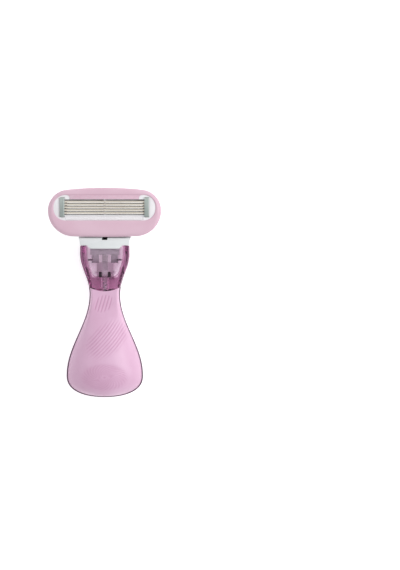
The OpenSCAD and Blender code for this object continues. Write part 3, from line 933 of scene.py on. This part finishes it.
def by_angle(loop, angles):
    away = loop - window_middle
    found = np.arctan2(away[:, 1], away[:, 0])
    order = np.argsort(found)
    found, away = found[order], away[order]
    found = np.concatenate([found[-1:] - 2 * np.pi, found, found[:1] + 2 * np.pi])
    away = np.concatenate([away[-1:], away, away[:1]])
    return window_middle + np.stack([np.interp(angles, found, away[:, k]) for k in (0, 1)], -1)


# %% Rings of the frame
away = frame_outline(0) - window_middle
ring_angles = np.unique(np.round(np.arctan2(away[:, 1], away[:, 0]), 9))
outer_loop = {inset: by_angle(frame_outline(inset), ring_angles)
              for inset in (0, 0.04, 0.12, 0.3, 0.5, 0.85, 1.3, 2.0)}


def level(loop, z):
    return np.column_stack([loop, np.full(len(loop), z)])


def between(share, z):
    inside, outside = by_angle(window_loop(0.35), ring_angles), outer_loop[1.3]
    return level(inside + (outside - inside) * share, z)


frame_rings = [level(by_angle(window_loop(0.2), ring_angles), face_z - 5.2),
               level(by_angle(window_loop(0.2), ring_angles), face_z - 0.35),
               level(by_angle(window_loop(0.0), ring_angles), face_z - 0.30),
               level(by_angle(window_loop(0.02), ring_angles), face_z - 0.16),
               level(by_angle(window_loop(0.12), ring_angles), face_z - 0.07)]
frame_rings += [between(share, face_z - 0.03 + 0.03 * math.sin(math.pi * share))
                for share in (0, 0.2, 0.4, 0.6, 0.8)]
frame_rings += [level(outer_loop[1.3], face_z - 0.08), level(outer_loop[0.85], face_z - 0.22),
                level(outer_loop[0.5], face_z - 0.45), level(outer_loop[0.12], face_z - 0.9),
                level(outer_loop[0], face_z - 1.4), level(outer_loop[0.04], face_z - 2.0),
                level(outer_loop[0.3], face_z - 2.8), level(outer_loop[0.85], face_z - 3.3),
                level(by_angle(window_loop(1.0), ring_angles), face_z - 5.1),
                level(by_angle(window_loop(0.8), ring_angles), face_z - 5.2)]
ring_count, ring_size = len(frame_rings), len(ring_angles)
soft_frame = make_mesh("soft_head_frame", np.array(frame_rings), [
    (i * ring_size + j, i * ring_size + (j + 1) % ring_size,
     (i + 1) % ring_count * ring_size + (j + 1) % ring_size,
     (i + 1) % ring_count * ring_size + j)
    for i in range(ring_count) for j in range(ring_size)])

# %% Slots for the yoke's arms
flange_z = (face_z - 2.8, pivot_z + 1.5)
arm_x = (7.5, 13.2)
cuts = [block("lug_slot", (-15, 15), (pivot_y - 1.6, window_low + 0.3), flange_z),
        block("knob_slot", (-1.7, 1.7), (pivot_y - 1.6, window_low + 0.3), (0, flange_z[0] + 0.1))]
for side in (-1, 1):
    span = sorted((side * arm_x[0], side * arm_x[1]))
    short = sorted((side * arm_x[0], side * 10.3))
    cuts.append(block("arm_slot", span, (0, window_low + 0.3), (0, pivot_z - 0.1)))
    cuts.append(block("pin_slot", span, (pivot_y - 2, window_low + 0.3), (0, flange_z[1])))
    cuts.append(block("boss_slot", short, (pivot_y - 2, window_low + 0.3),
                      (0, flange_z[1] + 0.35)))
combine(soft_frame, cuts, "DIFFERENCE")
tidy_mesh(soft_frame)
fit(shade(soft_frame, 40), "head", "pink_frame", pink_frame, "soft_frame")

# %% [markdown]
# ## The mouldings and stampings
# The tray, the yoke, the button, the plunger and the clips have the right shape in
# the model already. They get what a mould or a press leaves: softly rounded edges. The
# yoke also widens a little towards the head, and its prongs, deep in the collar's
# pocket, are darkened with painted shade.

# %% White tray and yoke
for node, body, slot, material, width in (
        ("blade_housing", "head", "white_plastic", white_plastic, 0.12),
        ("interconnect", "dock", "white_yoke", white_yoke, 0.14),
        ("release_button", "button", "mauve_button", mauve_button, 0.12),
        ("plunger", "pusher", "clear_plastic", clear_plastic, 0.15),
        ("left_clip", "head", "clip_metal", clip_metal, 0.08),
        ("right_clip", "head", "clip_metal", clip_metal, 0.08)):
    piece = softened(node, "fine_" + node, width)
    if node == "interconnect":
        x, y, z = plan_points(piece)
        # The prongs below the stem are marked for painted shade, as they lie deep in the pocket.
        mark(piece, "deep", fade(y, handle_len - 3.8, handle_len - 3.5))
        reach = np.clip((y - handle_len) / 2.8, 0, 1) * (y < handle_len + 3.2) * (np.abs(x) > 8)
        wider = x * (1 + 0.045 * reach)
        piece.data.vertices.foreach_set("co", to_frame(np.stack([wider, y, z], -1)).ravel())
    fit(shade(piece), body, slot, material, node)

# %% [markdown]
# ## The blades
# Each blade is a narrow strip with a ground edge, welded to its bent support. The
# row of weld spots repeats along the strip, so a node tree sets one small dome on
# every point of a line, and the strip itself is the model's own, softly edged.

# %% Weld spots along a strip
weld_tree, given = new_tree("weld_spots", Count=13, Length=0.032, Radius=0.00013)
track = step(weld_tree, "GeometryNodeMeshLine",
             {"Count": given["Count"],
              "Start Location": step(weld_tree, "ShaderNodeCombineXYZ",
                                     {"X": maths(weld_tree, "MULTIPLY", given["Length"],
                                                 -0.5)})[0],
              "Offset": step(weld_tree, "ShaderNodeCombineXYZ",
                             {"X": maths(weld_tree, "MULTIPLY", given["Length"], 0.5)})[0]},
             mode="END_POINTS")
dome = step(weld_tree, "GeometryNodeMeshUVSphere", {"Segments": 10, "Rings": 6,
                                                   "Radius": given["Radius"]})
flat_dome = step(weld_tree, "GeometryNodeTransform",
                 {"Geometry": dome["Mesh"], "Scale": (1.0, 1.0, 0.25)})
spots = step(weld_tree, "GeometryNodeInstanceOnPoints",
             {"Points": track["Mesh"], "Instance": flat_dome["Geometry"]})
end_tree(weld_tree, given, spots["Instances"])

# %% Blades and their supports
blade_tilt = math.radians(24)
weld_row_share = 0.92
for number in range(1, 6):
    node = f"blade_{number}"
    low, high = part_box(node)
    strip = softened(node, f"strip_{number}", 0.02, 1)
    welds = grow(empty_piece("welds"), weld_tree, blade_steel,
                 Length=(high.x - low.x) * weld_row_share)
    middle = Vector((0, low.y + (high.y - low.y) * 0.62, high.z - (high.z - low.z) * 0.52))
    turn = np.array([[1, 0, 0], [0, math.cos(blade_tilt), math.sin(blade_tilt)],
                     [0, -math.sin(blade_tilt), math.cos(blade_tilt)]])
    spots_at = np.array([v.co for v in welds.data.vertices]) @ turn.T + np.array(middle)
    welds.data.vertices.foreach_set("co", spots_at.ravel())
    combined = bmesh.new()
    combined.from_mesh(strip.data)
    combined.from_mesh(welds.data)
    combined.to_mesh(strip.data)
    combined.free()
    bpy.data.objects.remove(welds)
    fit(shade(strip), "head", "blade_steel", blade_steel, node)
    support = softened(f"blade_support_{number}", f"bent_support_{number}", 0.03, 1)
    fit(shade(support), "head", "support_steel", support_steel, f"blade_support_{number}")

# %% [markdown]
# ## Strip and guard
# The strip over the blades is a soft waxy bar, and the guard under them is a row of
# fine fins. The fins repeat, so a node tree lays one rounded fin on each point.

# %% Lubricating strip
strip_low, strip_high = size("cap_strip")
strip_half = strip_high[0]
strip_y = (strip_low[1] - butt_y, strip_high[1] - butt_y)
flare_r = strip_y[1] - strip_y[0] - 0.3
strip_side = [(strip_half, strip_y[0])]
strip_side += [(x, y) for x, y in sweep_arc(strip_half + flare_r, strip_y[1] - flare_r, flare_r,
                                            math.pi, math.pi / 2, 10)]
cap_strip = slab("waxy_strip", strip_side + [(-x, y) for x, y in strip_side[::-1]],
                 (face_z - 0.6, face_z - 0.04))
round_edges(cap_strip, 0.1, 3, 40)
fit(shade(cap_strip), "head", "lube_strip", lube_strip, "cap_strip")

# %% Guard fins
guard_low, guard_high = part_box("guard_strip")
fin_tree, given = new_tree("guard_fins", Count=4, Length=0.030, Pitch=0.00042, Radius=0.00014)
rail = step(fin_tree, "GeometryNodeMeshLine",
            {"Count": given["Count"],
             "Offset": step(fin_tree, "ShaderNodeCombineXYZ", {"Y": given["Pitch"]})[0]})
bar = step(fin_tree, "GeometryNodeMeshCylinder",
           {"Vertices": 12, "Radius": given["Radius"], "Depth": given["Length"]})
laid = step(fin_tree, "GeometryNodeTransform",
            {"Geometry": bar["Mesh"], "Rotation": (0.0, math.pi / 2, 0.0),
             "Scale": (3.0, 1.0, 1.0)})
fins = step(fin_tree, "GeometryNodeInstanceOnPoints",
            {"Points": rail["Mesh"], "Instance": laid["Geometry"]})
end_tree(fin_tree, given, fins["Instances"])

guard = grow(empty_piece("guard_fins"), fin_tree, guard_rubber,
             Length=(guard_high.x - guard_low.x) - 0.0007)
fin_height = 0.00042
first_fin = 0.00023
for point in guard.data.vertices:
    point.co.y += guard_low.y + first_fin
    point.co.z += guard_high.z - fin_height
base = block("guard_base", (guard_low.x / MM, guard_high.x / MM),
             (guard_low.y / MM - butt_y, guard_high.y / MM - butt_y),
             (guard_low.z / MM, guard_high.z / MM - 0.45), 0.08)
paint(combine(guard, [paint(base, guard_rubber)], "UNION"), guard_rubber)
fit(shade(guard), "head", "guard_rubber", guard_rubber, "guard_strip")

# %% [markdown]
# ## Springs
# A spring is a round wire along a spiral. The tree takes the spiral's turns, radius
# and length and draws the wire round it. Both springs rest on the handle.

# %% Coil tree
coil_tree, given = new_tree("coil", Turns=8.0, Radius=0.0011, Length=0.010, Wire=0.0002)
spiral = step(coil_tree, "GeometryNodeCurveSpiral",
              {"Resolution": 40, "Rotations": given["Turns"], "Start Radius": given["Radius"],
               "End Radius": given["Radius"], "Height": given["Length"]})
wire = step(coil_tree, "GeometryNodeCurvePrimitiveCircle",
            {"Resolution": 10, "Radius": given["Wire"]})
drawn = step(coil_tree, "GeometryNodeCurveToMesh",
             {"Curve": spiral["Curve"], "Profile Curve": wire["Curve"], "Fill Caps": True})
lying = step(coil_tree, "GeometryNodeTransform",
             {"Geometry": drawn["Mesh"], "Rotation": (-math.pi / 2, 0.0, 0.0)})
end_tree(coil_tree, given, lying["Geometry"])

# %% Both springs
for node, joint, wire_r, turns, fixed_at_top in (
        ("plunger_spring", "plunger_slide", 0.0002, 8.0, False),
        ("button_spring", "button_slide", 0.00012, 9.0, True)):
    low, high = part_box(node)
    coil = grow(empty_piece("wound_" + node), coil_tree, spring_steel, Turns=turns, Wire=wire_r,
                Radius=(high.x - low.x) / 2 - wire_r, Length=high.y - low.y - 2 * wire_r)
    for point in coil.data.vertices:
        point.co.y += low.y + wire_r
        point.co.z += (low.z + high.z) / 2
    tidy_mesh(coil)
    fit(shade(coil, 60), "handle", "spring_steel", spring_steel, node)
    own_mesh(coil)
